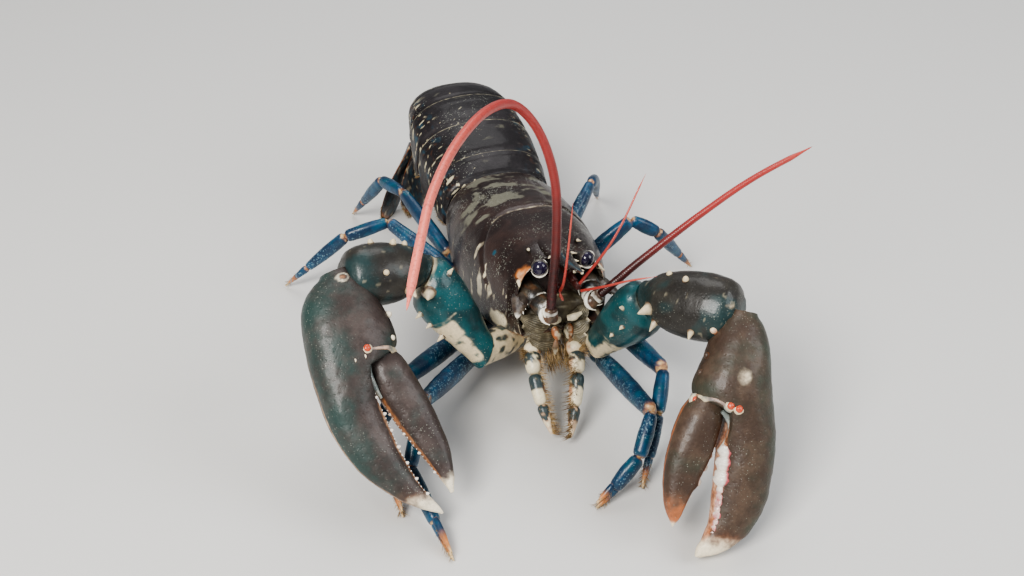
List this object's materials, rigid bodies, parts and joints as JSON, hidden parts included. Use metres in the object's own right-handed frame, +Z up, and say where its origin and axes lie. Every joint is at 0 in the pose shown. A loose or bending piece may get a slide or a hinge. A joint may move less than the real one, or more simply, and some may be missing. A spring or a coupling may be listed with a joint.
{
  "type": "european lobster",
  "caption": "Life-size European lobster model standing on its walking legs, heavy claws down in front, long antennae raised and tail curled under behind.",
  "frame": {"origin": "on the floor under the middle of the whole animal's box, antennae and claws included", "axes": "+Z up from the floor it stands on, +Y from the head towards the tail, +X towards the animal's own left side"},
  "size_m": [0.2482, 0.3645, 0.1962],
  "materials": {
    "shell": "glossy chitin, very dark chocolate brown with fine pale specks, grey-olive silt on the rear half",
    "belly": "satin cream and orange-brown underside shell",
    "abdomen": "glossy blue-black chitin with cream and teal flecks along the sides",
    "tail": "satin blue-black chitin, paler and fringed with setae at the rear edge",
    "claw": "semi-gloss dark brown to olive chitin, orange at the margins, cream at the tips",
    "arm": "satin teal and blue mottled chitin with cream spines",
    "leg": "satin deep blue chitin with pale specks and orange-cream joints",
    "eye": "wet-looking blue-black cornea",
    "stalk": "satin mottled brown and cream chitin",
    "antenna": "satin ringed crimson to salmon pink",
    "antennule": "satin red-orange",
    "mouth": "satin banded cream, blue-grey and orange"
  },
  "bodies": {
    "root": {"carapace": "shell", "thorax": "belly", "abdomen_1": "abdomen", "abdomen_2": "abdomen", "abdomen_3": "abdomen", "abdomen_4": "abdomen", "abdomen_5": "abdomen", "abdomen_6": "abdomen", "telson": "tail", "tail_fan_inner_left": "tail", "tail_fan_inner_right": "tail", "tail_fan_outer_left": "tail", "tail_fan_outer_right": "tail", "eye_left": "eye", "eye_right": "eye", "eyestalk_left": "stalk", "eyestalk_right": "stalk", "antenna_stem_left": "stalk", "antenna_stem_right": "stalk", "antenna_right_1": "antenna", "antenna_right_2": "antenna", "antenna_right_3": "antenna", "antenna_left_1": "antenna", "antenna_left_2": "antenna", "antennule_left": "antennule", "antennule_right": "antennule", "antennule_left_short": "antennule", "antennule_right_short": "antennule", "mouthparts": "mouth", "maxilliped_left": "mouth", "maxilliped_right": "mouth", "claw_left_base": "arm", "claw_left_arm": "arm", "claw_left_wrist": "claw", "claw_left_palm": "claw", "claw_left_finger": "claw", "claw_right_base": "arm", "claw_right_arm": "arm", "claw_right_wrist": "claw", "claw_right_palm": "claw", "claw_right_finger": "claw", "leg_1_left_upper": "leg", "leg_1_left_lower": "leg", "leg_1_right_upper": "leg", "leg_1_right_lower": "leg", "leg_2_left_upper": "leg", "leg_2_left_lower": "leg", "leg_2_right_upper": "leg", "leg_2_right_lower": "leg", "leg_3_left_upper": "leg", "leg_3_left_lower": "leg", "leg_3_right_upper": "leg", "leg_3_right_lower": "leg", "leg_4_left_upper": "leg", "leg_4_left_lower": "leg", "leg_4_right_upper": "leg", "leg_4_right_lower": "leg"}
  },
  "joints": []
}
